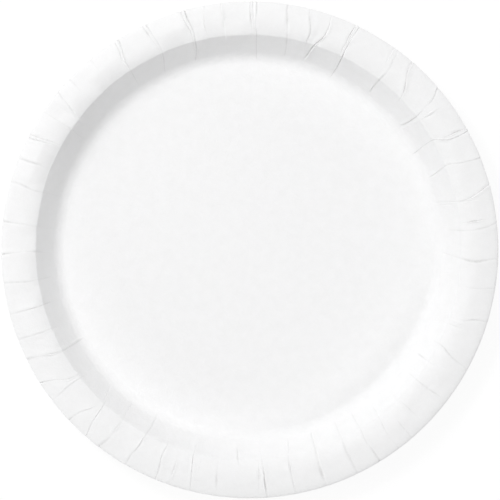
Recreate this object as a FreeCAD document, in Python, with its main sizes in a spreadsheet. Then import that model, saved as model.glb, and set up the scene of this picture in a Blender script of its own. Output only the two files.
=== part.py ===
import FreeCAD, Part
import math
import os
import Sketcher
from collections import namedtuple
from FreeCAD import Vector

# A round paper plate, pressed from one piece of board.
# The flat floor lies on the table with its lower face at height 0, and Z points up.
# The origin is the centre of the round outline. The dish inside it was pressed a little off that centre.
# The board that is left over in the wall and brim is taken up in folds, from the foot out to the edge.

# Driving sizes in millimetres and degrees: alias, value, what it is
SIZES = [
    ("rim_diameter", 228.6, "across the outline"),
    ("rim_height", 18.0, "from the table to the crest of the brim"),
    ("board", 0.4, "thickness of the board"),
    ("floor_radius", 83.5, "flat floor, out to where the foot begins"),
    ("foot_radius", 8.0, "bend from the floor up into the wall, on the upper face"),
    ("wall_slope", 60.0, "steepness of the wall"),
    ("shoulder_radius", 1.5, "tight bend from the wall out into the brim, on the upper face"),
    ("brim_slope", 20.0, "steepness of the brim where it leaves the shoulder"),
    ("brim_radius", 25.0, "rounding of the brim, on the upper face"),
    ("edge_radius", 6.0, "rounding of the outermost band, which rolls down more tightly than the brim"),
    ("edge_turn", 23.0, "angle through which that band rolls"),
    ("dish_shift_x", -0.6, "centre of the dish from the centre of the outline"),
    ("dish_shift_y", 1.06, "the same, in Y"),
    ("lap_height", 0.4, "step of the board at a fold, measured at the edge"),
    ("lap_width", 0.35, "width of that step"),
    ("flap_width", 1.7, "raised strip between the two lines of a double fold"),
    ("widest_panel", 8.6, "angle between two folds above which their panel bends along its middle"),
]

# What a fold does to the board, going anticlockwise
UP = "steps up"
DOWN = "steps down"
DOUBLE = "raised strip"

# Each fold's bearing in degrees, anticlockwise from X, at the edge, at the shoulder and at the foot
FOLDS = [
    (6.5, 5.1, 5.9, UP),
    (15.3, 13.1, 14.2, DOWN),
    (21.8, 23.6, 21.6, UP),
    (29.0, 31.9, 31.0, DOUBLE),
    (36.5, 37.4, 39.6, UP),
    (49.3, 45.2, 45.5, DOWN),
    (53.6, 53.0, 52.9, UP),
    (64.4, 65.0, 65.3, DOUBLE),
    (71.1, 72.3, 74.5, DOWN),
    (81.5, 80.1, 79.9, UP),
    (89.3, 88.6, 88.5, DOUBLE),
    (100.8, 101.3, 100.5, UP),
    (105.8, 104.8, 107.3, DOUBLE),
    (115.4, 114.3, 116.6, DOUBLE),
    (122.6, 124.2, 124.4, DOUBLE),
    (130.1, 130.6, 130.8, UP),
    (136.8, 136.5, 136.4, DOWN),
    (140.6, 142.4, 142.0, UP),
    (146.0, 146.3, 146.3, DOWN),
    (152.9, 151.0, 151.2, DOUBLE),
    (163.8, 164.4, 164.3, UP),
    (173.3, 173.9, 173.8, DOWN),
    (180.9, 180.4, 180.7, UP),
    (187.7, 188.0, 187.4, DOWN),
    (194.9, 194.4, 194.3, UP),
    (201.2, 201.5, 201.5, DOWN),
    (206.1, 208.5, 208.1, UP),
    (212.5, 216.2, 216.0, DOWN),
    (223.0, 225.0, 224.3, UP),
    (232.4, 232.7, 232.7, DOWN),
    (239.6, 240.3, 240.6, UP),
    (247.1, 246.6, 246.6, DOWN),
    (255.6, 254.3, 254.5, UP),
    (262.1, 261.2, 261.3, DOWN),
    (273.8, 272.9, 272.6, UP),
    (280.4, 280.2, 280.6, DOWN),
    (287.8, 287.8, 288.5, UP),
    (295.4, 295.4, 295.9, DOWN),
    (301.3, 301.3, 301.7, UP),
    (306.5, 307.1, 308.0, DOWN),
    (314.8, 314.8, 314.6, UP),
    (322.2, 322.1, 322.2, DOWN),
    (332.1, 333.7, 333.5, UP),
    (342.9, 341.8, 341.6, DOWN),
    (351.2, 350.3, 350.4, UP),
    (357.8, 357.3, 358.4, DOWN),
]

# The stretches of the section, from the centre out
Stretches = namedtuple("Stretches", "floor foot wall shoulder brim edge")

# A line that runs out over the plate: its bearings, how far it lies aside of them, and its lift at the edge
Line = namedtuple("Line", "edge shoulder foot aside lift")


def add_sheet(doc):
    """The spreadsheet that holds the driving sizes."""
    sheet = doc.addObject("Spreadsheet::Sheet", "sizes")
    for row, (alias, value, note) in enumerate(SIZES, start=1):
        sheet.set(f"A{row}", note)
        sheet.set(f"B{row}", str(value))
        sheet.setAlias(f"B{row}", alias)
    doc.recompute()
    return sheet


def polar(centre, radius, angle):
    """The point of the section at that distance and angle, in radians above the horizontal, from a centre."""
    return centre + Vector(radius * math.cos(angle), radius * math.sin(angle), 0)


def arc(centre, radius, first, last):
    """An arc of the section, anticlockwise from one angle to another."""
    circle = Part.Circle(centre, Vector(0, 0, 1), radius)
    return Part.ArcOfCircle(circle, first, last)


def add_section(doc, sheet):
    """The sketch of the board's upper face, in the XZ plane.

    Floor, foot, wall, shoulder, brim and edge are each tangent to the next. The wall's length follows from
    the height of the brim. The drawing starts close to its sizes, and the constraints settle it.
    """
    upright = math.radians(90)
    wall = math.radians(sheet.wall_slope)
    rise = math.radians(sheet.brim_slope)
    turn = math.radians(sheet.edge_turn)
    fall = rise / 2
    floor_start = Vector(0, sheet.board, 0)
    floor_end = Vector(sheet.floor_radius, sheet.board, 0)
    foot_centre = polar(floor_end, sheet.foot_radius, upright)
    wall_start = polar(foot_centre, sheet.foot_radius, wall - upright)
    wall_end = polar(wall_start, sheet.rim_height / 2, wall)
    shoulder_centre = polar(wall_end, sheet.shoulder_radius, wall - upright)
    brim_centre = polar(shoulder_centre, sheet.brim_radius - sheet.shoulder_radius, rise - upright)
    edge_centre = polar(brim_centre, sheet.brim_radius - sheet.edge_radius, upright - fall)

    section = doc.addObject("Sketcher::SketchObject", "section")
    section.Label = "section of the upper face"
    section.Placement = FreeCAD.Placement(Vector(), FreeCAD.Rotation(Vector(1, 0, 0), 90))
    floor_line = section.addGeometry(Part.LineSegment(floor_start, floor_end))
    foot = section.addGeometry(arc(foot_centre, sheet.foot_radius, -upright, wall - upright))
    wall_line = section.addGeometry(Part.LineSegment(wall_start, wall_end))
    shoulder = section.addGeometry(
        arc(shoulder_centre, sheet.shoulder_radius, upright + rise, upright + wall)
    )
    brim = section.addGeometry(arc(brim_centre, sheet.brim_radius, upright - fall, upright + rise))
    edge = section.addGeometry(arc(edge_centre, sheet.edge_radius, upright - fall - turn, upright - fall))

    # a point is given as its piece and its place on it
    # the origin and the upright axis count as pieces, with numbers below 0
    start, end, centre = 1, 2, 3
    origin, upright_axis = -1, -2
    for joint in [
        (floor_line, end, foot, start),
        (foot, end, wall_line, start),
        (wall_line, end, shoulder, end),
        (shoulder, start, brim, end),
        (brim, start, edge, end),
    ]:
        section.addConstraint(Sketcher.Constraint("Tangent", *joint))
    section.addConstraint(Sketcher.Constraint("Horizontal", floor_line))
    section.addConstraint(Sketcher.Constraint("PointOnObject", floor_line, start, upright_axis))

    def bind(formula, value, kind, *where):
        number = section.addConstraint(Sketcher.Constraint(kind, *where, value))
        section.setExpression(f"Constraints[{number}]", formula)

    rim_radius = sheet.rim_diameter / 2
    brim_height = sheet.rim_height - sheet.brim_radius
    bind("sizes.board", sheet.board, "DistanceY", origin, start, floor_line, start)
    bind("sizes.floor_radius", sheet.floor_radius, "DistanceX", origin, start, floor_line, end)
    bind("sizes.foot_radius", sheet.foot_radius, "Radius", foot)
    bind("sizes.wall_slope * 1 deg", wall, "Angle", wall_line)
    bind("sizes.shoulder_radius", sheet.shoulder_radius, "Radius", shoulder)
    bind("(sizes.wall_slope - sizes.brim_slope) * 1 deg", wall - rise, "Angle", shoulder)
    bind("sizes.brim_radius", sheet.brim_radius, "Radius", brim)
    bind("sizes.rim_height - sizes.brim_radius", brim_height, "DistanceY", origin, start, brim, centre)
    bind("sizes.edge_radius", sheet.edge_radius, "Radius", edge)
    bind("sizes.edge_turn * 1 deg", turn, "Angle", edge)
    bind("sizes.rim_diameter / 2", rim_radius, "DistanceX", origin, start, edge, start)
    doc.recompute()
    return section


def bend(centre, radius, first, last):
    """Start, middle and end of a bend of the section, between two angles."""
    return [polar(centre, radius, angle) for angle in (first, (first + last) / 2, last)]


def face_points(sheet, upper, outline, depth):
    """The points of each stretch of one face of the board, from the end of the floor out to the outline.

    The face lies at that depth below the upper one. A straight stretch has two points and a bend has three.
    """
    foot, shoulder, brim, edge = upper.foot, upper.shoulder, upper.brim, upper.edge
    # the brim goes on over its crest to where the edge band, bending on from there, ends at the outline
    crest = math.radians(90)
    turn = math.radians(sheet.edge_turn)
    across = brim.Radius - edge.Radius + edge.Radius * math.cos(turn)
    down = edge.Radius * math.sin(turn)
    reach = (outline - brim.Center.x) / math.hypot(across, down)
    brim_end = crest - math.asin(reach) + math.atan2(down, across)
    edge_centre = polar(brim.Center, brim.Radius - edge.Radius, brim_end)
    foot_bend = bend(foot.Center, foot.Radius + depth, foot.FirstParameter, foot.LastParameter)
    shoulder_bend = bend(
        shoulder.Center, shoulder.Radius - depth, shoulder.LastParameter, shoulder.FirstParameter
    )
    return [
        foot_bend,
        [foot_bend[-1], shoulder_bend[0]],
        shoulder_bend,
        bend(brim.Center, brim.Radius - depth, brim.LastParameter, brim_end),
        bend(edge_centre, edge.Radius - depth, brim_end, brim_end - turn),
    ]


def outline_radius(sheet, bearing):
    """How far the outline is from the centre of the dish in that direction."""
    angle = math.radians(bearing)
    shift = Vector(sheet.dish_shift_x, sheet.dish_shift_y, 0)
    along = shift.x * math.cos(angle) + shift.y * math.sin(angle)
    return math.sqrt(along**2 - shift.Length**2 + (sheet.rim_diameter / 2) ** 2) - along


def put_on_line(sheet, upper, line, point):
    """A point of the section, moved to where the line crosses its radius.

    The board tips up about the end of the floor, so that a lift grows from nothing there to its full
    height at the edge.
    """
    rim_radius = sheet.rim_diameter / 2
    shoulder_at = upper.shoulder.StartPoint.x
    if point.x > shoulder_at:
        share = (point.x - shoulder_at) / (rim_radius - shoulder_at)
        bearing = line.shoulder + share * (line.edge - line.shoulder)
    else:
        share = (point.x - sheet.floor_radius) / (shoulder_at - sheet.floor_radius)
        bearing = line.foot + share * (line.shoulder - line.foot)
    pivot = Vector(sheet.floor_radius, sheet.board, 0)
    tip = line.lift / (rim_radius - sheet.floor_radius)
    arm = point - pivot
    radius = point.x - tip * arm.y
    height = point.y + tip * arm.x
    angle = math.radians(bearing)
    outward = Vector(math.cos(angle), math.sin(angle), 0)
    sideways = Vector(-math.sin(angle), math.cos(angle), 0)
    return outward * radius + sideways * line.aside + Vector(0, 0, height)


def board_section(sheet, upper, line):
    """The wire round the board along a line: out on the upper face, down at the edge, back on the lower face.

    It comes with its two ends, where the flat floor goes on.
    """
    outline = outline_radius(sheet, line.edge)
    faces = []
    for depth in (0, sheet.board):
        edges = []
        for stretch in face_points(sheet, upper, outline, depth):
            points = [put_on_line(sheet, upper, line, point) for point in stretch]
            edges.append(Part.LineSegment(*points) if len(points) == 2 else Part.Arc(*points))
        faces.append(edges)
    top, bottom = faces
    rim = Part.LineSegment(top[-1].EndPoint, bottom[-1].EndPoint)
    wire = Part.Wire([edge.toShape() for edge in top + [rim] + bottom[::-1]])
    return wire, top[0].StartPoint, bottom[0].StartPoint


def fold_lines(sheet, fold):
    """The lines along which a fold bends the board: one at each side of each step."""
    edge, shoulder, foot, kind = fold
    step = sheet.lap_width / 2
    flap = sheet.flap_width / 2
    rise = sheet.lap_height / 2
    bends = {
        UP: [(-step, -rise), (step, rise)],
        DOWN: [(-step, rise), (step, -rise)],
        DOUBLE: [(-flap - step, -rise), (-flap + step, rise), (flap - step, rise), (flap + step, -rise)],
    }
    return [Line(edge, shoulder, foot, aside, lift) for aside, lift in bends[kind]]


def lines_round_plate(sheet):
    """All lines in order round the plate, with one more along the middle of each wide panel."""
    lines = []
    for number, fold in enumerate(FOLDS):
        lines += fold_lines(sheet, fold)
        turn = 360 * ((number + 1) // len(FOLDS))
        following = FOLDS[(number + 1) % len(FOLDS)]
        middle = [(here + there + turn) / 2 for here, there in zip(fold[:3], following[:3])]
        if following[0] + turn - fold[0] > sheet.widest_panel:
            lines.append(Line(*middle, 0, 0))
    return lines


def add_plate(doc, sheet, section):
    """The plate: straight panels from line to line round the wall and brim, and the flat floor inside."""
    upper = Stretches(*section.Geometry)
    sections = [board_section(sheet, upper, line) for line in lines_round_plate(sheet)]
    wires, upper_ends, lower_ends = zip(*sections)
    ruled, closed = True, True
    rim = Part.makeLoft(list(wires), False, ruled, closed)
    floor_faces = []
    for ends in (upper_ends, lower_ends):
        floor_faces.append(Part.Face(Part.makePolygon([*ends, ends[0]])))
    shell = Part.makeShell(rim.Faces + floor_faces)
    solid = Part.makeSolid(shell)
    if solid.Volume < 0:
        solid.reverse()
    plate = doc.addObject("Part::Feature", "plate")
    plate.Label = "plate"
    plate.Shape = solid
    # the dish is drawn round its own centre, and the part stands on the centre of its outline
    plate.setExpression("Placement.Base.x", "sizes.dish_shift_x")
    plate.setExpression("Placement.Base.y", "sizes.dish_shift_y")
    doc.recompute()
    return plate


def check(doc, parts):
    """Stop if the drawing is loose, if any object failed, or if a part's shape is missing or broken."""
    for item in doc.Objects:
        if "Invalid" in item.State or "Error" in item.State:
            raise RuntimeError(f"{item.Name} failed: {item.State}")
    if not doc.section.FullyConstrained:
        raise RuntimeError("the section is not fully constrained")
    for item in parts:
        if item.Shape.isNull() or not item.Shape.isValid() or not item.Shape.isClosed():
            raise RuntimeError(f"{item.Label} has no valid shape")


doc = FreeCAD.newDocument("paper_plate")
sheet = add_sheet(doc)
section = add_section(doc, sheet)
plate = add_plate(doc, sheet, section)
check(doc, [plate])

os.makedirs("parts", exist_ok=True)
plate.Shape.exportStep(f"parts/{plate.Label}.step")
box = plate.Shape.BoundBox
print(f"plate: {box.XLength:.2f} x {box.YLength:.2f} x {box.ZLength:.2f} mm, {plate.Shape.Volume:.0f} mm3")
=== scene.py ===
import math
from collections import namedtuple

import bpy
import numpy as np
from mathutils import Matrix, Vector


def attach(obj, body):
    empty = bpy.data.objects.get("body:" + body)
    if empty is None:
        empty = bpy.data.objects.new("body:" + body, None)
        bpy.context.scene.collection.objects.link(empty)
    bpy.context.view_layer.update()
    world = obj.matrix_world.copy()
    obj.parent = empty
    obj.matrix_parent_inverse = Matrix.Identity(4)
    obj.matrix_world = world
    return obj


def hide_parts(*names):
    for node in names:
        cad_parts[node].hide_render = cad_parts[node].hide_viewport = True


# A round white paper plate, pressed from one piece of board and seen from straight above.
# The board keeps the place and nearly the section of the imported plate. Here it gets its folds line by line,
# the soft panels between them, and the surface of the paper.
# Sizes are in millimetres until the mesh is made.
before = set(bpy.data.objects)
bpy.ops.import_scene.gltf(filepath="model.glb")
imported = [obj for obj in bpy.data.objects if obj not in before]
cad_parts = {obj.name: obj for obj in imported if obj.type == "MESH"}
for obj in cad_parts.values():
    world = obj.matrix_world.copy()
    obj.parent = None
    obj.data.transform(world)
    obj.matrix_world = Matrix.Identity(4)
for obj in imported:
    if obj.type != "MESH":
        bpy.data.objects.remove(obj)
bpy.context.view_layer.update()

MM = 0.001
SEED = 29

# The section of the board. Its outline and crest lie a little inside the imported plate's box.
RIM_RADIUS = 114.15
RIM_HEIGHT = 17.45
BOARD = 0.4
FLOOR_RADIUS = 83.8
FOOT_RADIUS = 7.0
WALL_SLOPE = 58
SHOULDER_RADIUS = 1.5
SHOULDER_END = 98.2
DISH_SHIFT = (-0.6, 1.06)

# How steep the brim is, in degrees, at each share of the way from the shoulder to the outline
BRIM_SHARES = (0.0, 0.09, 0.18, 0.29, 0.4, 0.52, 0.63, 0.75, 0.86, 0.94, 1.0)
BRIM_SLOPES = (26.0, 20.5, 14.0, 8.5, 4.0, -0.3, -2.8, -4.0, -6.0, -11.0, -22.0)

# How the flat floor is divided, from its middle out
FLOOR_RINGS = (6, 18, 30, 42, 52)
FLOOR_COLUMNS = 90
FLOOR_ROWS = (60, 70, 78, 82)

# How many rows there are along each stretch of the section
FOOT_ROWS = 9
WALL_ROWS = 7
SHOULDER_ROWS = 5
BRIM_ROWS = 23

# The folds. Their bearings are in degrees, anticlockwise from X, about the middle of the picture, at each
# of PATH_RADII. The second row of five says how marked a fold is at each of MARK_RADII. It fades out at the
# radius given as its end, and spread is how broad its lines are. A double fold has two lines, and its
# widths say how far apart they are at each of PATH_RADII.
PATH_RADII = (113.9, 108.4, 102.9, 98.3, 88.2)
MARK_RADII = (113.9, 108.4, 102.9, 98.3, 94.5)
PATH_CENTRE = (0.46, -0.05)
UP = "the board on the anticlockwise side lies on top"
DOWN = "the board on the clockwise side lies on top"
DOUBLE = "a strip between two lines lies on top"
Fold = namedtuple(
    "Fold", "bearings marks kind end spread widths", defaults=(89.0, 1.0, (1.4, 1.2, 0.9, 0.6, 0.3))
)
FOLDS = [
    Fold((6.5, 5.5, 5.1, 5.2, 6.1), (0.2, 0.5, 0.4, 0.6, 0.8), UP, end=91.5, spread=1.5),
    Fold((7.4, 7.4, 7.3, 7.3, 7.3), (0.0, 0.4, 0.9, 0.1, 0.0), DOWN),
    Fold((11.7, 12.4, 12.7, 12.6, 13.2), (0.3, 0.3, 0.5, 0.1, 0.2), DOWN),
    Fold((15.3, 14.6, 13.1, 13.1, 14.2), (0.5, 0.9, 1.2, 0.9, 0.8), DOWN),
    Fold((21.8, 22.1, 22.6, 23.6, 21.6), (0.5, 0.6, 0.5, 0.7, 0.9), UP, end=88.5),
    Fold(
        (29.0, 29.3, 29.9, 31.6, 30.6),
        (0.7, 0.9, 1.3, 1.3, 1.0),
        DOUBLE,
        end=86.5,
        widths=(1.0, 2.2, 1.6, 0.5, 0.3),
    ),
    Fold((36.3, 37.0, 37.3, 37.3, 37.8), (0.1, 0.2, 0.8, 0.6, 0.1), UP),
    Fold((40.9, 39.9, 39.1, 39.0, 39.5), (0.9, 0.5, 0.0, 0.7, 1.0), UP, spread=1.3),
    Fold((49.3, 48.7, 46.5, 45.1, 45.3), (0.9, 1.0, 0.8, 0.4, 0.0), DOWN),
    Fold((53.5, 53.2, 52.6, 53.2, 52.9), (0.5, 0.3, 0.4, 1.2, 1.2), UP, end=90.0, spread=1.4),
    Fold((54.9, 54.2, 53.7, 53.9, 53.8), (0.4, 0.5, 0.0, 0.0, 0.0), DOWN),
    Fold(
        (64.5, 64.8, 65.0, 65.0, 65.3),
        (0.9, 0.9, 1.0, 1.2, 1.4),
        DOUBLE,
        end=86.5,
        widths=(1.6, 1.4, 1.0, 1.2, 0.3),
    ),
    Fold((71.1, 70.8, 71.0, 72.8, 75.0), (0.3, 0.7, 1.3, 1.2, 1.2), DOWN, end=90.0, spread=1.2),
    Fold((76.3, 75.5, 74.9, 74.8, 76.7), (0.8, 0.6, 0.6, 0.3, 0.0), UP),
    Fold((81.5, 81.1, 80.6, 80.2, 80.0), (0.8, 1.0, 0.5, 0.4, 0.4), UP, spread=1.3),
    Fold((88.9, 88.9, 88.8, 88.6, 88.1), (0.5, 0.8, 1.0, 1.2, 1.1), UP, end=84.5, spread=1.1),
    Fold((89.5, 89.4, 89.2, 88.9, 88.5), (1.1, 1.2, 0.8, 0.4, 0.0), UP, spread=0.8),
    Fold((90.1, 90.0, 89.8, 89.5, 89.2), (1.0, 1.3, 1.0, 0.3, 0.0), DOWN, spread=0.8),
    Fold((97.0, 97.0, 97.0, 97.0, 97.0), (0.5, 0.6, 0.3, 0.0, 0.0), DOWN),
    Fold((100.8, 101.4, 101.7, 100.6, 100.5), (0.8, 0.4, 0.4, 0.4, 0.0), UP),
    Fold((105.8, 105.4, 104.8, 105.0, 107.5), (1.4, 1.0, 1.0, 1.4, 1.4), DOUBLE, end=88.5, spread=1.3),
    Fold((115.4, 114.9, 114.2, 114.4, 116.8), (1.0, 0.9, 0.4, 0.3, 1.1), DOUBLE, end=88.5, spread=1.3),
    Fold(
        (122.8, 123.2, 123.9, 124.2, 124.4),
        (1.1, 1.4, 0.9, 0.6, 0.5),
        DOUBLE,
        widths=(2.0, 1.4, 0.9, 0.6, 0.3),
    ),
    Fold((130.1, 130.1, 130.3, 130.5, 130.6), (0.4, 0.3, 0.1, 0.0, 0.0), UP, spread=1.9),
    Fold((136.8, 136.8, 136.6, 136.5, 136.4), (0.4, 0.3, 0.0, 0.0, 0.0), DOWN, spread=2.1),
    Fold((140.8, 141.5, 142.3, 142.7, 142.4), (0.4, 0.5, 0.4, 0.1, 0.0), DOWN, spread=1.4),
    Fold((146.0, 146.1, 146.2, 146.3, 146.3), (0.4, 0.6, 0.3, 0.6, 0.3), DOWN),
    Fold(
        (152.9, 152.3, 151.5, 150.9, 151.0),
        (1.2, 1.2, 0.5, 0.4, 0.0),
        DOUBLE,
        widths=(1.2, 1.0, 0.6, 0.4, 0.3),
    ),
    Fold((158.2, 158.2, 158.2, 158.3, 158.4), (0.4, 0.6, 0.2, 0.0, 0.0), DOWN, spread=1.3),
    Fold((163.9, 164.2, 164.6, 164.4, 164.3), (0.3, 0.6, 0.6, 0.3, 0.2), DOWN, spread=1.5),
    Fold((173.3, 173.5, 173.8, 173.9, 173.7), (0.6, 0.6, 0.4, 0.4, 0.3), DOWN),
    Fold((180.9, 180.6, 180.3, 180.5, 180.8), (0.6, 0.5, 0.5, 0.5, 0.4), DOWN),
    Fold((187.7, 187.8, 187.9, 188.0, 187.2), (0.3, 0.3, 0.6, 0.6, 0.4), DOWN, end=91.0, spread=1.2),
    Fold((194.9, 194.8, 194.8, 194.5, 194.2), (0.3, 0.5, 0.6, 0.9, 0.1), DOWN),
    Fold((201.2, 201.3, 201.4, 201.5, 201.5), (0.4, 0.4, 0.6, 0.9, 0.0), DOWN, spread=1.4),
    Fold((205.9, 206.7, 207.9, 208.5, 208.0), (0.6, 0.5, 0.6, 0.8, 0.7), DOWN, end=86.5, spread=1.5),
    Fold((212.4, 213.4, 215.4, 216.0, 216.0), (1.0, 0.5, 0.3, 0.6, 0.0), DOWN),
    Fold((216.9, 216.9, 216.9, 216.9, 217.0), (0.1, 0.4, 0.4, 0.5, 0.0), DOWN),
    Fold((222.9, 223.5, 225.0, 225.1, 223.6), (0.5, 0.5, 0.5, 0.3, 0.0), DOWN),
    Fold((228.4, 227.4, 226.7, 226.4, 224.4), (0.4, 0.4, 0.7, 0.7, 0.3), DOWN),
    Fold((232.4, 232.7, 232.9, 232.8, 232.6), (0.6, 0.5, 0.6, 0.7, 0.2), DOWN, spread=1.7),
    Fold((239.6, 239.9, 240.2, 240.4, 240.9), (0.4, 0.5, 0.9, 0.4, 0.4), DOWN, end=86.5, spread=1.5),
    Fold((247.1, 246.9, 246.6, 246.6, 246.6), (0.3, 0.5, 0.4, 0.3, 0.0), DOWN),
    Fold((250.7, 250.6, 250.5, 250.5, 250.5), (0.4, 0.6, 0.0, 0.0, 0.0), UP),
    Fold((255.9, 255.4, 254.8, 254.3, 254.5), (0.2, 0.6, 0.9, 0.5, 0.2), DOWN),
    Fold((262.2, 261.8, 261.2, 261.0, 261.1), (0.1, 0.7, 0.4, 0.2, 0.0), DOWN),
    Fold((267.2, 267.2, 267.0, 266.7, 265.4), (0.0, 0.0, 0.0, 1.0, 0.6), DOWN, end=91.0),
    Fold((271.7, 271.9, 272.0, 272.0, 271.9), (0.0, 0.8, 1.2, 0.2, 0.0), UP, spread=0.8),
    Fold((274.0, 273.6, 273.2, 272.9, 272.7), (0.3, 1.3, 0.7, 0.3, 0.2), DOWN),
    Fold((280.4, 280.3, 280.1, 280.3, 280.7), (0.2, 0.5, 0.7, 0.4, 0.4), DOWN, spread=1.2),
    Fold((287.8, 287.6, 287.5, 287.9, 288.4), (0.5, 0.7, 0.5, 0.6, 0.5), UP, spread=2.0),
    Fold((295.4, 295.2, 295.1, 295.5, 296.0), (0.3, 0.6, 0.4, 0.4, 0.3), DOWN, spread=1.8),
    Fold((301.3, 301.2, 301.1, 301.4, 301.8), (0.5, 0.7, 0.3, 0.3, 0.4), DOWN, spread=1.8),
    Fold((306.4, 306.5, 306.5, 307.3, 308.3), (0.2, 0.4, 0.5, 0.5, 0.4), DOWN, end=92.0, spread=1.3),
    Fold((310.7, 310.7, 310.8, 311.0, 311.2), (0.2, 0.4, 0.1, 0.0, 0.0), UP, spread=1.3),
    Fold((314.8, 314.8, 314.8, 314.8, 314.7), (0.1, 0.1, 0.4, 0.1, 0.0), UP, spread=1.3),
    Fold((322.2, 322.1, 322.0, 322.1, 322.3), (0.1, 0.6, 0.4, 0.4, 0.5), DOWN, end=93.0, spread=1.3),
    Fold((327.6, 327.7, 327.8, 327.8, 328.3), (0.0, 0.0, 0.0, 0.4, 0.8), UP, end=91.0, spread=1.5),
    Fold((331.0, 331.5, 332.2, 333.6, 333.5), (0.2, 0.5, 0.6, 0.3, 0.0), UP, spread=1.3),
    Fold((339.8, 339.7, 339.6, 339.5, 339.4), (0.2, 0.3, 0.7, 0.3, 0.2), DOWN, spread=1.3),
    Fold((343.1, 342.6, 341.8, 341.7, 341.6), (0.4, 0.5, 0.3, 0.0, 0.0), UP),
    Fold((351.2, 350.7, 350.4, 350.3, 350.4), (0.4, 0.3, 0.2, 0.0, 0.0), UP),
    Fold((358.0, 357.5, 357.0, 357.3, 359.2), (0.5, 0.6, 1.0, 0.6, 0.3), DOWN, end=88.5, spread=1.8),
]

# The patches where the brim is pressed steeper between two bearings, from the shoulder to that radius, by
# that depth in all. Where it is below 0, the patch is flatter. The board leaves its plain section
# PRESS_LEAD inside the shoulder and comes back to it at PRESS_END. Each side of a patch is PRESS_SIDE
# degrees wide.
Press = namedtuple("Press", "start end radius depth")
PRESS_END = 112.5
PRESS_LEAD = 4
PRESS_SIDE = 0.6
PRESSES = [
    Press(73.0, 76.5, 104.0, 0.50),
    Press(90.8, 97.0, 106.0, -0.75),
    Press(101.8, 105.0, 104.0, -0.50),
    Press(106.0, 112.5, 105.5, 0.80),
    Press(124.5, 133.5, 105.5, 0.75),
    Press(136.3, 141.0, 105.5, 0.40),
    Press(142.4, 146.3, 105.0, -0.90),
    Press(151.8, 163.2, 105.2, 0.95),
    Press(165.0, 174.0, 105.5, -0.35),
    Press(175.5, 180.5, 102.5, -0.60),
    Press(190.0, 194.3, 103.0, -0.60),
    Press(202.0, 206.5, 102.5, -0.50),
    Press(302.0, 308.0, 105.0, -0.25),
    Press(314.0, 324.5, 105.0, -0.60),
    Press(340.0, 355.0, 104.0, 0.25),
]

# How marked the second line of a double fold is at each of MARK_RADII, as a share of the first
SECOND_MARKS = (1.0, 1.0, 0.8, 0.5, 0.2)

# Across a line whose anticlockwise side lies on top: how far aside, the lifts of the upper and the lower
# face, and how much shade is painted into the board's colour there
Across = namedtuple("Across", "aside upper lower shade")
LAP = [
    Across(-1.60, 0.00, 0.00, 0.0),
    Across(-0.80, 0.04, -0.03, 0.0),
    Across(-0.44, 0.00, -0.06, 0.15),
    Across(-0.16, -0.10, -0.10, 0.7),
    Across(0.12, -0.10, -0.12, 0.7),
    Across(0.34, 0.03, -0.06, 0.15),
    Across(0.55, 0.10, 0.10, 0.0),
    Across(0.85, 0.07, -0.03, 0.0),
    Across(1.20, 0.00, 0.00, 0.0),
]

# How much higher the board is on one side of a line than on the other, at the edge, and how far beside the
# line it steps up
STEP = 0.13
STEP_ASIDE = 0.15

# How deep a line nicks the edge, and how far to both sides
NOTCH = 0.25
NOTCH_REACH = 0.7

# How far the lines wander aside, over which length and from which distance out of the floor, and how near
# to each other they may come
WANDER = 0.28
WANDER_LENGTH = 5.5
WANDER_START = 4
LEAST_APART = 0.3

# How uneven the marks of a line are, over which length, how far out of its end it comes up, and how broad
# a faint line is as a share of a strong one
UNEVENNESS = 0.45
UNEVEN_LENGTH = 2.5
FADE_LENGTH = 2.5
FAINT_SHARE = 0.7

# Between these radii a line goes over from its breadth in the wall to its breadth in the brim
SPREAD_RADII = (97, 106)

# How crumpled the board is beside a line, over which length, how far aside, and round which radius most
CRINKLE = 0.15
CRINKLE_LENGTH = 1.6
CRINKLE_REACH = 1.5
KNEE_RADIUS = 102.5
KNEE_REACH = 5

# The panels: their columns, how nearly they span their gap in a straight line at the shoulder and at the
# edge, how much of that gap either line may fill, and the gap under which a panel is a narrow, stiffer one
PANEL_COLUMNS = 5
PANEL_FLATNESS = (0.7, 0.25)
GAP_SHARE = 0.46
NARROW_GAP = 2.5
NARROW_SHARE = 0.3

# The bulges in the middle of a panel and the dips right across it: how high, round which radii, how far
BULGE = 0.12
BULGE_RADII = (93, 102, 109)
BULGE_REACH = 6
DIP = 0.14
DIP_RADII = (101, 107)
DIP_REACH = 5

# How far the cut edge of the board stands out
CUT_ROUNDING = 0.05

# The light: a broad window at the upper left of the picture, its neighbours, and weak light from the room
Lamp = namedtuple("Lamp", "name bearing elevation watts")
LAMPS = [
    Lamp("window", 135, 57, 13.3),
    Lamp("window_low", 135, 45, 4.7),
    Lamp("window_left", 180, 57, 3.9),
    Lamp("window_right", 90, 57, 2.6),
    Lamp("window_sill", 135, 30, 1.4),
    Lamp("room", 315, 38, 4.5),
    Lamp("room_left", 225, 15, 3.8),
    Lamp("room_right", 45, 45, 1.3),
    Lamp("room_far", 0, 30, 1.4),
    Lamp("room_back", 70, 15, 2.2),
]
LAMP_SIZE = 0.5
LAMP_DISTANCE = 2.0
WORLD_STRENGTH = 0.3


def outline_radius(bearing):
    """How far the round outline is from the centre of the dish at that bearing, in radians."""
    x, y = DISH_SHIFT
    along = x * np.cos(bearing) + y * np.sin(bearing)
    return np.sqrt(along**2 - x**2 - y**2 + RIM_RADIUS**2) - along


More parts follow.
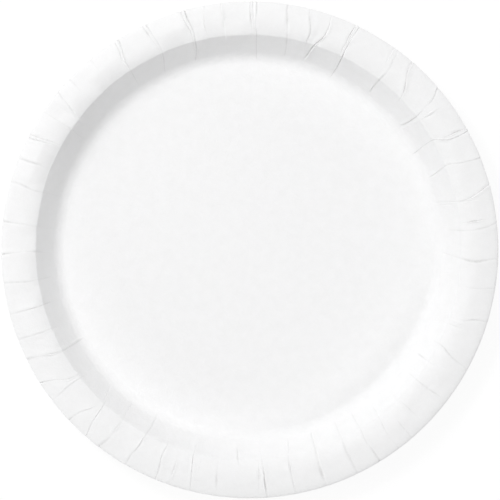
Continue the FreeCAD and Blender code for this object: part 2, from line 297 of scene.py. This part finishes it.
def section_rows(outline):
    """Radius, height and normal of the upper face for each row, from the floor out, for that outline."""
    # the slope of the brim, added up from the shoulder out, gives its height
    shares = np.linspace(0, 1, BRIM_ROWS + 1)
    slopes = np.radians(np.interp(shares, BRIM_SHARES, BRIM_SLOPES))
    steps = np.diff(shares) * (np.tan(slopes[1:]) + np.tan(slopes[:-1])) / 2
    climb = np.concatenate([[0], np.cumsum(steps)])
    shoulder_height = RIM_HEIGHT - climb.max() * (RIM_RADIUS - SHOULDER_END)

    wall = math.radians(WALL_SLOPE)
    shoulder_slopes = np.radians(np.linspace(WALL_SLOPE, BRIM_SLOPES[0], SHOULDER_ROWS + 1))
    centre_radius = SHOULDER_END + SHOULDER_RADIUS * math.sin(shoulder_slopes[-1])
    centre_height = shoulder_height - SHOULDER_RADIUS * math.cos(shoulder_slopes[-1])
    wall_top = centre_height + SHOULDER_RADIUS * math.cos(wall)
    foot_slopes = np.linspace(0, wall, FOOT_ROWS + 1)
    foot_top = BOARD + FOOT_RADIUS * (1 - math.cos(wall))
    wall_heights = np.linspace(foot_top, wall_top, WALL_ROWS + 1)[1:-1]
    wall_head = centre_radius - SHOULDER_RADIUS * math.sin(wall)

    rows = [(radius, BOARD, 0.0) for radius in FLOOR_ROWS]
    foot_start = wall_head - (wall_top - foot_top) / math.tan(wall) - FOOT_RADIUS * math.sin(wall)
    for slope in foot_slopes:
        radius = foot_start + FOOT_RADIUS * math.sin(slope)
        rows.append((radius, BOARD + FOOT_RADIUS * (1 - math.cos(slope)), slope))
    for height in wall_heights:
        rows.append((wall_head - (wall_top - height) / math.tan(wall), height, wall))
    for slope in shoulder_slopes[:-1]:
        radius = centre_radius - SHOULDER_RADIUS * math.sin(slope)
        rows.append((radius, centre_height + SHOULDER_RADIUS * math.cos(slope), slope))
    reach = outline - SHOULDER_END
    for share, rise, slope in zip(shares, climb, slopes):
        rows.append((SHOULDER_END + share * reach, shoulder_height + rise * reach, slope))
    radius, height, slope = np.array(rows, float).T
    return np.stack([radius, height, -np.sin(slope), np.cos(slope)], axis=1)


def smooth(share):
    """A rise from 0 to 1 that starts and ends gently."""
    share = np.clip(share, 0, 1)
    return share * share * (3 - 2 * share)


def hump(radius, middle, reach):
    """A soft rise and fall round a radius."""
    return smooth(1 - np.abs(radius - middle) / reach)


def path_about_dish(fold):
    """Radii and bearings of a fold's path about the centre of the dish, from the foot out."""
    points = []
    for radius, bearing in zip(PATH_RADII, fold.bearings):
        angle = math.radians(bearing)
        x = PATH_CENTRE[0] + radius * math.cos(angle) - DISH_SHIFT[0]
        y = PATH_CENTRE[1] + radius * math.sin(angle) - DISH_SHIFT[1]
        points.append((math.hypot(x, y), math.atan2(y, x) % math.tau))
    radii, bearings = np.array(points[::-1]).T
    return radii, np.unwrap(bearings)


def along_path(radius, radii, values):
    """A value that is given at some radii, read between them with its corners rounded."""
    rounding = (-1.8, -0.9, 0, 0.9, 1.8)
    return sum(np.interp(radius + offset, radii, values) for offset in rounding) / len(rounding)


def uneven(rng, radius, spacing):
    """A value round 0 that drifts along the radius, with a new chance value at each spacing."""
    margin = 2
    stations = np.arange(FLOOR_RADIUS - margin, RIM_RADIUS + margin + spacing, spacing)
    return along_path(radius, stations, rng.normal(0, 1, len(stations)))


class Line:
    """One line of a fold: where it runs, how marked it is at each row, and which side lies on top."""

    def __init__(self, rng, fold, kind, side, radii, bearings, wander):
        self.radius = section_rows(outline_radius(bearings[-1]))[:, 0]
        aside = WANDER * wander * smooth((self.radius - FLOOR_RADIUS) / WANDER_START)
        marks = along_path(self.radius, MARK_RADII[::-1], fold.marks[::-1])
        if fold.kind == DOUBLE:
            aside = aside + side * along_path(self.radius, radii, fold.widths[::-1]) / 2
        if fold.kind == DOUBLE and side > 0:
            marks = marks * along_path(self.radius, MARK_RADII[::-1], SECOND_MARKS[::-1])
        self.centre = along_path(self.radius, radii, bearings) + aside / self.radius
        unevenness = UNEVENNESS * uneven(rng, self.radius, UNEVEN_LENGTH)
        self.marks = marks * smooth((self.radius - fold.end) / FADE_LENGTH)
        self.marks = self.marks * np.clip(1 + unevenness, 0.4, 1.6)
        self.kind = kind
        broad = fold.spread * rng.uniform(0.85, 1.15)
        self.spread = np.interp(self.radius, SPREAD_RADII, (0.4 + 0.6 * broad, 1.1 * broad))
        self.crinkles = [uneven(rng, self.radius, CRINKLE_LENGTH) for _ in LAP]
        self.side_lifts = (-STEP / 2, STEP / 2) if kind == UP else (STEP / 2, -STEP / 2)

    def profile(self):
        """The columns across the line. One that lies the other way is the same, mirrored."""
        if self.kind == UP:
            return LAP
        return [Across(-c.aside, c.upper, c.lower, c.shade) for c in LAP[::-1]]


class Panel:
    """The board between two lines: the lift of its sides, its soft bulges and the dips across it."""

    def __init__(self, rng, first_side, second_side, narrow):
        size = NARROW_SHARE if narrow else 1.0
        self.sides = (first_side, second_side)
        self.bulges = size * rng.uniform(-BULGE, BULGE, len(BULGE_RADII))
        self.dips = size * rng.uniform(-DIP, DIP, len(DIP_RADII))
        self.columns = 1 if narrow else PANEL_COLUMNS

    def lift(self, share, radius):
        """How far the board stands off its plain section, at a share of the way across and a radius."""
        first_side, second_side = self.sides
        outward = np.clip((radius - FLOOR_RADIUS) / (RIM_RADIUS - FLOOR_RADIUS), 0, 1)
        level = outward * ((1 - share) * first_side + share * second_side)
        across = 4 * share * (1 - share)
        for middle, height in zip(BULGE_RADII, self.bulges):
            level = level + height * across * hump(radius, middle, BULGE_REACH)
        for middle, height in zip(DIP_RADII, self.dips):
            level = level + height * hump(radius, middle, DIP_REACH)
        return level


# One column of the board: its bearing and lifts at each row, the outline there, the shade painted
# into its colour, and how far it is drawn in
Column = namedtuple("Column", "bearing outline upper lower shade drawn_in")


def plate_lines(rng):
    """All lines in order round the plate, each with bearings that go on rising past the full turn."""
    lines = []
    for fold in FOLDS:
        radii, bearings = path_about_dish(fold)
        wander = uneven(rng, section_rows(outline_radius(bearings[-1]))[:, 0], WANDER_LENGTH)
        sides = [(UP, -1), (DOWN, 1)] if fold.kind == DOUBLE else [(fold.kind, 0)]
        for kind, side in sides:
            lines.append(Line(rng, fold, kind, side, radii, bearings, wander))
    for before, line in zip(lines, lines[1:]):
        while line.centre[-1] < before.centre[-1]:
            line.centre = line.centre + math.tau
        line.centre = np.maximum(line.centre, before.centre + LEAST_APART / line.radius)
    return lines


def pressed(bearing, radius):
    """How far the board stands off its plain section because its brim is pressed, at each row."""
    x = radius * np.cos(bearing) + DISH_SHIFT[0] - PATH_CENTRE[0]
    y = radius * np.sin(bearing) + DISH_SHIFT[1] - PATH_CENTRE[1]
    seen_from = np.degrees(np.arctan2(y, x)) % 360
    level = 0 * radius
    for press in PRESSES:
        past_start = smooth((seen_from - press.start) / PRESS_SIDE)
        before_end = smooth((press.end - seen_from) / PRESS_SIDE)
        stations = (SHOULDER_END - PRESS_LEAD, SHOULDER_END, press.radius, PRESS_END)
        shape = np.interp(radius, stations, (0, -0.5, 0.5, 0))
        level = level + press.depth * past_start * before_end * shape
    return level


def side_levels(line, panel_before, panel_after):
    """The levels of the board on both sides of a line. Where the line is faint, both come to the same."""
    before = panel_before.lift(1.0, line.radius)
    after = panel_after.lift(0.0, line.radius)
    shared = (before + after) / 2
    apart = smooth(1.4 * line.marks)
    return shared + apart * (before - shared), shared + apart * (after - shared)


def line_columns(line, before, after, levels):
    """The columns across one line, squeezed where its neighbours come close."""
    level_before, level_after = levels
    room_before = GAP_SHARE * (line.centre - before) * line.radius
    room_after = GAP_SHARE * (after - line.centre) * line.radius
    strength = np.minimum(line.marks, 1)
    columns = []
    profile = line.profile()
    first, last = profile[0].aside, profile[-1].aside
    knee = 1 + hump(line.radius, KNEE_RADIUS, KNEE_REACH)
    for place, crinkle in zip(profile, line.crinkles):
        room = room_before / -first if place.aside < 0 else room_after / last
        squeeze = np.minimum(1, room / line.spread)
        width = squeeze * line.spread * (FAINT_SHARE + (1 - FAINT_SHARE) * strength)
        bearing = line.centre + place.aside * width / line.radius
        # a strong line takes the board from one level to the other in a step, a faint one in a gentle rise
        if line.kind == UP:
            stepped = float(place.aside > STEP_ASIDE)
        else:
            stepped = float(place.aside >= -STEP_ASIDE)
        gentle = smooth((place.aside - first) / (last - first))
        share = strength * stepped + (1 - strength) * gentle
        level = level_before + share * (level_after - level_before)
        marks = line.marks * squeeze
        nicked = max(0.0, 1 - abs(place.aside) / NOTCH_REACH)
        crumpled = max(0.0, 1 - abs(place.aside) / CRINKLE_REACH)
        outline = outline_radius(bearing[-1]) - NOTCH * marks[-1] * nicked
        level = level + pressed(bearing, line.radius)
        level = level + CRINKLE * crinkle * knee * marks * crumpled
        upper = level + place.upper * marks
        lower = level + place.lower * marks
        # the shade painted into the board's colour along the line, as strong as the line is marked
        columns.append(Column(bearing, outline, upper, lower, place.shade * marks, 0 * bearing))
    return columns


def panel_columns(panel, radius, start, end, start_level, end_level):
    """The columns of a panel, which lies nearly straight between its two sides."""
    start_change = start_level - panel.lift(0.0, radius)
    end_change = end_level - panel.lift(1.0, radius)
    columns = []
    middle = (start + end) / 2
    for step in range(1, panel.columns + 1):
        share = step / (panel.columns + 1)
        bearing = start + share * (end - start)
        flatness = np.interp(radius, (SHOULDER_END, RIM_RADIUS), PANEL_FLATNESS)
        drawn_in = flatness * (1 - np.cos((end - start) / 2) / np.cos(bearing - middle))
        level = panel.lift(share, radius) + (1 - share) ** 2 * start_change + share**2 * end_change
        level = level + pressed(bearing, radius)
        columns.append(Column(bearing, outline_radius(bearing[-1]), level, level, 0 * radius, drawn_in))
    return columns


def board_columns():
    """Every column of the board round the dish."""
    rng = np.random.default_rng(SEED)
    lines = plate_lines(rng)
    count = len(lines)
    panels = []
    for number, line in enumerate(lines):
        following = lines[(number + 1) % count]
        gap = (following.centre[-1] - line.centre[-1]) % math.tau * RIM_RADIUS
        panels.append(Panel(rng, line.side_lifts[1], following.side_lifts[0], gap < NARROW_GAP))

    groups = []
    levels = []
    for number, line in enumerate(lines):
        before = lines[number - 1].centre - (math.tau if number == 0 else 0)
        after = lines[(number + 1) % count].centre + (math.tau if number == count - 1 else 0)
        levels.append(side_levels(line, panels[number - 1], panels[number]))
        groups.append(line_columns(line, before, after, levels[-1]))
    columns = []
    for number, group in enumerate(groups):
        following = (number + 1) % count
        end = groups[following][0].bearing + (math.tau if number == count - 1 else 0)
        levels_here = (levels[number][1], levels[following][0])
        columns += group
        columns += panel_columns(panels[number], lines[number].radius, group[-1].bearing, end, *levels_here)
    return columns


def ring_points(bearings, radius, height):
    """A level ring of points about the centre of the dish."""
    return [(radius * math.cos(b), radius * math.sin(b), height) for b in bearings]


def zip_rings(outer, inner, outer_bearings, inner_bearings):
    """Triangles between two rings of different count, given as point numbers, seen from above."""
    faces = []
    i = j = 0
    outer_count, inner_count = len(outer), len(inner)
    while i < outer_count or j < inner_count:
        next_outer = outer_bearings[i + 1] if i + 1 < outer_count else outer_bearings[0] + math.tau
        next_inner = inner_bearings[j + 1] if j + 1 < inner_count else inner_bearings[0] + math.tau
        if j >= inner_count or (i < outer_count and next_outer <= next_inner):
            faces.append((outer[i % outer_count], outer[(i + 1) % outer_count], inner[j % inner_count]))
            i += 1
        else:
            faces.append((outer[i % outer_count], inner[(j + 1) % inner_count], inner[j % inner_count]))
            j += 1
    return faces


def column_loop(column):
    """The points of one column, out on the upper face, round the cut edge and back on the lower face."""
    bearing = column.bearing
    radius, height, normal_out, normal_up = section_rows(column.outline).T
    faces = []
    for lift, depth in ((column.upper, 0.0), (column.lower, BOARD)):
        r = (radius + normal_out * (lift - depth)) * (1 - column.drawn_in)
        z = height + normal_up * (lift - depth)
        faces.append(np.stack([r * np.cos(bearing), r * np.sin(bearing), z], axis=1))
    top, bottom = faces
    cut = (top[-1] + bottom[-1]) / 2
    outward = np.array([math.cos(bearing[-1]), math.sin(bearing[-1]), 0]) * CUT_ROUNDING
    upper_corner = 0.8 * top[-1] + 0.2 * cut + outward
    lower_corner = 0.8 * bottom[-1] + 0.2 * cut + outward
    return [*top, upper_corner, cut + outward * 1.2, lower_corner, *bottom[::-1]]


def add_floor_face(points, outer, outer_bearings, height):
    """Rings of points from the ring round the floor to its middle, added to the points, and their faces."""
    inner_bearings = [outer_bearings[0] + math.tau * n / FLOOR_COLUMNS for n in range(FLOOR_COLUMNS)]
    bearings = outer_bearings
    faces = []
    for radius in FLOOR_RINGS[::-1]:
        inner = list(range(len(points), len(points) + FLOOR_COLUMNS))
        points += ring_points(inner_bearings, radius, height)
        faces += zip_rings(outer, inner, bearings, inner_bearings)
        outer, bearings = inner, inner_bearings
    middle = len(points)
    points.append((0.0, 0.0, height))
    faces += [(outer[n], outer[(n + 1) % FLOOR_COLUMNS], middle) for n in range(FLOOR_COLUMNS)]
    return faces


def board_mesh():
    """The whole board as one closed mesh: folded ring, floor and rounded cut edge."""
    columns = board_columns()
    points = []
    shades = []
    grid = []
    for column in columns:
        loop = column_loop(column)
        grid.append(range(len(points), len(points) + len(loop)))
        points += [tuple(point) for point in loop]
        # the painted shade of each column: full on the upper face and the cut edge, half on the lower face
        shades += [*column.shade, *[column.shade[-1]] * 3, *(0.5 * column.shade[::-1])]
    faces = []
    for here, there in zip(grid, grid[1:] + grid[:1]):
        for row in range(len(here) - 1):
            faces.append((here[row], here[row + 1], there[row + 1], there[row]))
    bearings = [float(column.bearing[0]) for column in columns]
    faces += add_floor_face(points, [loop[0] for loop in grid], bearings, BOARD)
    below = add_floor_face(points, [loop[-1] for loop in grid], bearings, 0.0)
    faces += [face[::-1] for face in below]
    shades += [0.0] * (len(points) - len(shades))

    shift = np.array([*DISH_SHIFT, 0.0])
    places = (np.array(points) + shift) * MM
    mesh = bpy.data.meshes.new("plate_board")
    mesh.from_pydata(places.tolist(), [], faces)
    # the painted shade in the folds, by which the material darkens the board's colour
    depth = mesh.attributes.new("fold_painted_shade", "FLOAT", "POINT")
    depth.data.foreach_set("value", np.array(shades, np.float32))
    mesh.update()
    mesh.polygons.foreach_set("use_smooth", [True] * len(mesh.polygons))
    mesh.set_sharp_from_angle(angle=math.radians(50))
    return mesh


def add_node(tree, kind, **values):
    """A shader node with some of its own settings."""
    node = tree.nodes.new(kind)
    for name, value in values.items():
        setattr(node, name, value)
    return node


def noise(tree, place, scale, detail, roughness):
    """Noise over the object's own space, of so many cells to the metre."""
    node = add_node(tree, "ShaderNodeTexNoise")
    node.inputs["Scale"].default_value = scale
    node.inputs["Detail"].default_value = detail
    node.inputs["Roughness"].default_value = roughness
    tree.links.new(place, node.inputs["Vector"])
    return node.outputs["Fac"]


def ramp(tree, value, low, high, from_low=0.3, from_high=0.7):
    """A colour that goes from low to high as the value rises."""
    node = add_node(tree, "ShaderNodeValToRGB")
    node.color_ramp.elements[0].position = from_low
    node.color_ramp.elements[0].color = (*low, 1)
    node.color_ramp.elements[1].position = from_high
    node.color_ramp.elements[1].color = (*high, 1)
    tree.links.new(value, node.inputs["Fac"])
    return node.outputs["Color"]


def multiply(tree, first, second):
    """Two colours multiplied."""
    node = add_node(tree, "ShaderNodeMix", data_type="RGBA", blend_type="MULTIPLY")
    node.inputs["Factor"].default_value = 1
    tree.links.new(first, node.inputs["A"])
    tree.links.new(second, node.inputs["B"])
    return node.outputs["Result"]


def bump(tree, height, distance):
    """A bump of that depth in metres."""
    node = add_node(tree, "ShaderNodeBump")
    node.inputs["Strength"].default_value = 1
    node.inputs["Distance"].default_value = distance
    tree.links.new(height, node.inputs["Height"])
    return node


def paper():
    """White pressed board: faint clouds of fibre, a fine grain, and a little shade painted into the colour
    down in the folds.
    """
    material = bpy.data.materials.new("white_board")
    material.use_nodes = True
    tree = material.node_tree
    shader = tree.nodes["Principled BSDF"]
    place = add_node(tree, "ShaderNodeTexCoord").outputs["Object"]
    # how much shade is painted into the colour here, read from the folds' attribute
    depth = add_node(tree, "ShaderNodeAttribute", attribute_name="fold_painted_shade").outputs["Fac"]
    clouds = ramp(tree, noise(tree, place, 210, 4, 0.6), (0.922, 0.922, 0.924), (0.944, 0.944, 0.948))
    fibres = ramp(tree, noise(tree, place, 1400, 3, 0.7), (0.984, 0.984, 0.984), (1.0, 1.0, 1.0))
    # patches that break up the painted shade in the folds
    patches = ramp(tree, noise(tree, place, 900, 2, 0.5), (0.55, 0.55, 0.55), (1.0, 1.0, 1.0))
    mottled_painted_shade = add_node(tree, "ShaderNodeMath", operation="MULTIPLY")
    tree.links.new(depth, mottled_painted_shade.inputs[0])
    tree.links.new(patches, mottled_painted_shade.inputs[1])
    # painted shade: the colour darkens towards grey down in the folds
    folds = ramp(tree, mottled_painted_shade.outputs["Value"], (1.0, 1.0, 1.0), (0.72, 0.715, 0.71), 0.05, 0.95)
    colour = multiply(tree, multiply(tree, clouds, fibres), folds)
    tree.links.new(colour, shader.inputs["Base Color"])
    gloss = ramp(tree, noise(tree, place, 500, 3, 0.5), (0.52, 0.52, 0.52), (0.66, 0.66, 0.66))
    tree.links.new(gloss, shader.inputs["Roughness"])
    shader.inputs["Specular IOR Level"].default_value = 0.3
    pressed_in = bump(tree, noise(tree, place, 420, 2, 0.5), 0.00016)
    grain = bump(tree, noise(tree, place, 1500, 4, 0.6), 0.0001)
    tree.links.new(pressed_in.outputs["Normal"], grain.inputs["Normal"])
    tree.links.new(grain.outputs["Normal"], shader.inputs["Normal"])
    return material


def seen_directly(tree):
    """1 where the ray comes from the camera, a gloss or a clear piece, and 0 for the light that spreads."""
    path = add_node(tree, "ShaderNodeLightPath")
    seen = path.outputs["Is Camera Ray"]
    for other in ("Is Glossy Ray", "Is Transmission Ray"):
        either = add_node(tree, "ShaderNodeMath", operation="MAXIMUM")
        tree.links.new(seen, either.inputs[0])
        tree.links.new(path.outputs[other], either.inputs[1])
        seen = either.outputs["Value"]
    return seen


def add_floor():
    """A plain pale floor, which the camera sees as white and which keeps the plate's shadow."""
    half = 4.0
    # a hair under the plate, so that the two faces don't fall together
    below = -0.3 * MM
    mesh = bpy.data.meshes.new("floor")
    mesh.from_pydata(
        [(-half, -half, below), (half, -half, below), (half, half, below), (-half, half, below)],
        [],
        [(0, 1, 2, 3)],
    )
    floor = bpy.data.objects.new("floor", mesh)
    bpy.context.scene.collection.objects.link(floor)
    material = bpy.data.materials.new("pale_floor")
    material.use_nodes = True
    tree = material.node_tree
    tree.nodes.remove(tree.nodes["Principled BSDF"])
    matt = add_node(tree, "ShaderNodeBsdfDiffuse")
    matt.inputs["Color"].default_value = (0.7, 0.7, 0.7, 1)
    white = add_node(tree, "ShaderNodeEmission")
    white.inputs["Strength"].default_value = 1.08
    share = add_node(tree, "ShaderNodeMath", operation="MULTIPLY")
    share.inputs[1].default_value = 0.85
    tree.links.new(seen_directly(tree), share.inputs[0])
    both = add_node(tree, "ShaderNodeMixShader")
    tree.links.new(share.outputs["Value"], both.inputs["Fac"])
    tree.links.new(matt.outputs["BSDF"], both.inputs[1])
    tree.links.new(white.outputs["Emission"], both.inputs[2])
    tree.links.new(both.outputs["Shader"], tree.nodes["Material Output"].inputs["Surface"])
    mesh.materials.append(material)


def add_lamp(lamp):
    """One soft round lamp that faces the plate."""
    bearing = math.radians(lamp.bearing)
    elevation = math.radians(lamp.elevation)
    level = math.cos(elevation)
    toward = Vector((level * math.cos(bearing), level * math.sin(bearing), math.sin(elevation)))
    data = bpy.data.lights.new(lamp.name, "AREA")
    data.shape = "DISK"
    data.size = LAMP_SIZE
    data.energy = lamp.watts
    made = bpy.data.objects.new(lamp.name, data)
    bpy.context.scene.collection.objects.link(made)
    made.location = toward * LAMP_DISTANCE
    made.rotation_mode = "QUATERNION"
    made.rotation_quaternion = toward.to_track_quat("Z", "Y")


def add_world():
    """An even pale world, which the camera sees as white."""
    world = bpy.data.worlds.new("pale_world")
    world.use_nodes = True
    bpy.context.scene.world = world
    tree = world.node_tree
    even = tree.nodes["Background"]
    even.inputs["Color"].default_value = (1, 1, 1, 1)
    even.inputs["Strength"].default_value = WORLD_STRENGTH
    white = add_node(tree, "ShaderNodeBackground")
    white.inputs["Color"].default_value = (1, 1, 1, 1)
    white.inputs["Strength"].default_value = 1.0
    choice = add_node(tree, "ShaderNodeMixShader")
    tree.links.new(seen_directly(tree), choice.inputs["Fac"])
    tree.links.new(even.outputs["Background"], choice.inputs[1])
    tree.links.new(white.outputs["Background"], choice.inputs[2])
    tree.links.new(choice.outputs["Shader"], tree.nodes["World Output"].inputs["Surface"])


def add_camera():
    """The camera, high above the plate and a little to its upper left."""
    bearing = math.radians(132)
    tilt = math.radians(1.3)
    distance = 2.5
    frame_width = 229.7 * MM
    target = Vector((0, 0, 16.8 * MM))
    back = Vector((math.cos(bearing) * math.sin(tilt), math.sin(bearing) * math.sin(tilt), math.cos(tilt)))
    right = Vector((0, 1, 0)).cross(back).normalized()
    up = back.cross(right)
    data = bpy.data.cameras.new("camera")
    data.sensor_width = 36
    data.lens = data.sensor_width * distance / frame_width
    camera = bpy.data.objects.new("camera", data)
    bpy.context.scene.collection.objects.link(camera)
    turn = Matrix((right, up, back)).transposed().to_4x4()
    camera.matrix_world = Matrix.Translation(target + back * distance) @ turn
    bpy.context.scene.camera = camera


def add_plate():
    """The plate's board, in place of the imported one."""
    board = bpy.data.objects.new("plate_board", board_mesh())
    bpy.context.scene.collection.objects.link(board)
    board.data.materials.append(paper())
    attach(board, "root")
    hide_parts("plate")


bpy.context.scene.view_settings.view_transform = "Standard"
add_plate()
add_floor()
for lamp in LAMPS:
    add_lamp(lamp)
add_world()
add_camera()
